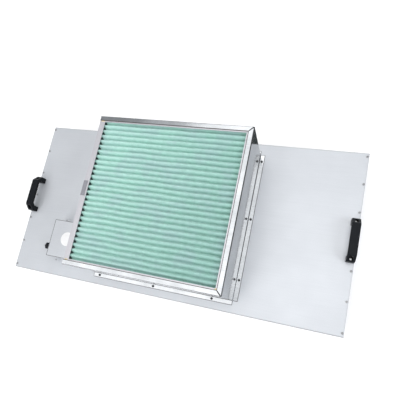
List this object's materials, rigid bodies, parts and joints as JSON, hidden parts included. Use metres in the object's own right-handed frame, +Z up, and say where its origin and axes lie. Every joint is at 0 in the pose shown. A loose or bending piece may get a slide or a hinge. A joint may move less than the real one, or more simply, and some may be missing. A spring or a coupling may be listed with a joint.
{
  "type": "fan filter unit",
  "caption": "Ceiling fan filter unit: long flat housing over a panel filter, square intake duct with a pleated draw-out pre-filter, radial fan inside, grab handles and a wiring box.",
  "frame": {"origin": "bottom centre of the unit, on the lower face of the final filter's frame", "axes": "+X along the long side (the pre-filter draws out towards -X), +Y across, +Z up against the air flow"},
  "size_m": [1.1766, 0.57, 0.32],
  "materials": {
    "coated_sheet": "fine satin aluminium-zinc coated sheet",
    "bright_sheet": "bright smooth coated sheet",
    "galvanised_sheet": "galvanised sheet",
    "dark_screw": "dark zinc",
    "bright_fastener": "bright zinc",
    "filter_aluminium": "extruded satin aluminium",
    "guard_paint": "white powder coat",
    "potting_resin": "cast polyurethane",
    "glass_paper": "white pleated glass fibre paper",
    "gasket_foam": "closed cell foam",
    "green_fibre": "pale green pleated synthetic fibre",
    "grey_tab": "satin",
    "black_nylon": "fine texture",
    "black_rubber": "matt",
    "lead_sheath": "smooth PVC",
    "grey_plastic": "nylon",
    "capacitor_case": "moulded case",
    "cast_aluminium": "die cast",
    "black_casting": "black coat",
    "ground_steel": "ground",
    "copper_winding": "enamelled copper",
    "impeller_sheet": "mill finish"
  },
  "bodies": {
    "housing": {"housing_shell": "coated_sheet", "end_panel_left": "coated_sheet", "end_panel_right": "coated_sheet", "end_panel_screws": "dark_screw", "filter_clips": "galvanised_sheet", "filter_clip_screws": "bright_fastener", "hepa_frame_front": "filter_aluminium", "hepa_frame_back": "filter_aluminium", "hepa_frame_left": "filter_aluminium", "hepa_frame_right": "filter_aluminium", "hepa_face_guard": "guard_paint", "hepa_potting": "potting_resin", "hepa_media": "glass_paper", "hepa_gasket": "gasket_foam", "duct_wall_front": "bright_sheet", "duct_wall_back": "bright_sheet", "duct_wall_right": "bright_sheet", "duct_wall_left": "bright_sheet", "duct_flange_screws": "dark_screw", "filter_rail_front": "galvanised_sheet", "filter_rail_back": "galvanised_sheet", "inlet_rail_front": "galvanised_sheet", "inlet_rail_back": "galvanised_sheet", "inlet_plate": "galvanised_sheet", "inlet_ring": "galvanised_sheet", "inlet_screws": "bright_fastener", "motor_bracket": "galvanised_sheet", "bracket_screws": "bright_fastener", "motor_flange": "cast_aluminium", "motor_bolts": "bright_fastener", "motor_bearing_lower": "ground_steel", "motor_bearing_upper": "ground_steel", "stator_core": "ground_steel", "stator_windings": "copper_winding", "motor_lead": "lead_sheath", "lead_clips": "grey_plastic", "lead_grommets": "black_rubber", "handle_left": "black_nylon", "handle_right": "black_nylon", "handle_screws": "bright_fastener", "m5_nuts": "bright_fastener", "control_box_body": "coated_sheet", "control_box_ends": "coated_sheet", "control_box_lid": "coated_sheet", "control_lid_screws": "bright_fastener", "control_box_screws": "bright_fastener", "terminal_block": "grey_plastic", "run_capacitor": "capacitor_case", "gland_body": "black_nylon", "gland_cap": "black_nylon", "gland_locknut": "black_nylon"},
    "prefilter": {"prefilter_frame": "filter_aluminium", "prefilter_media": "green_fibre", "prefilter_pull_tab": "grey_tab"},
    "rotor": {"rotor_cup": "black_casting", "motor_shaft": "ground_steel", "impeller_back_plate": "impeller_sheet", "impeller_screws": "bright_fastener", "impeller_shroud": "impeller_sheet", "impeller_blades": "impeller_sheet"}
  },
  "joints": [
    {"name": "prefilter_slide", "type": "slide", "parent": "housing", "child": "prefilter", "axis": [-1, 0, 0], "range_m": [0, 0.46]},
    {"name": "impeller_spin", "type": "hinge", "parent": "housing", "child": "rotor", "pos_m": [0, 0, 0.165], "axis": [0, 0, 1], "continuous": true}
  ]
}
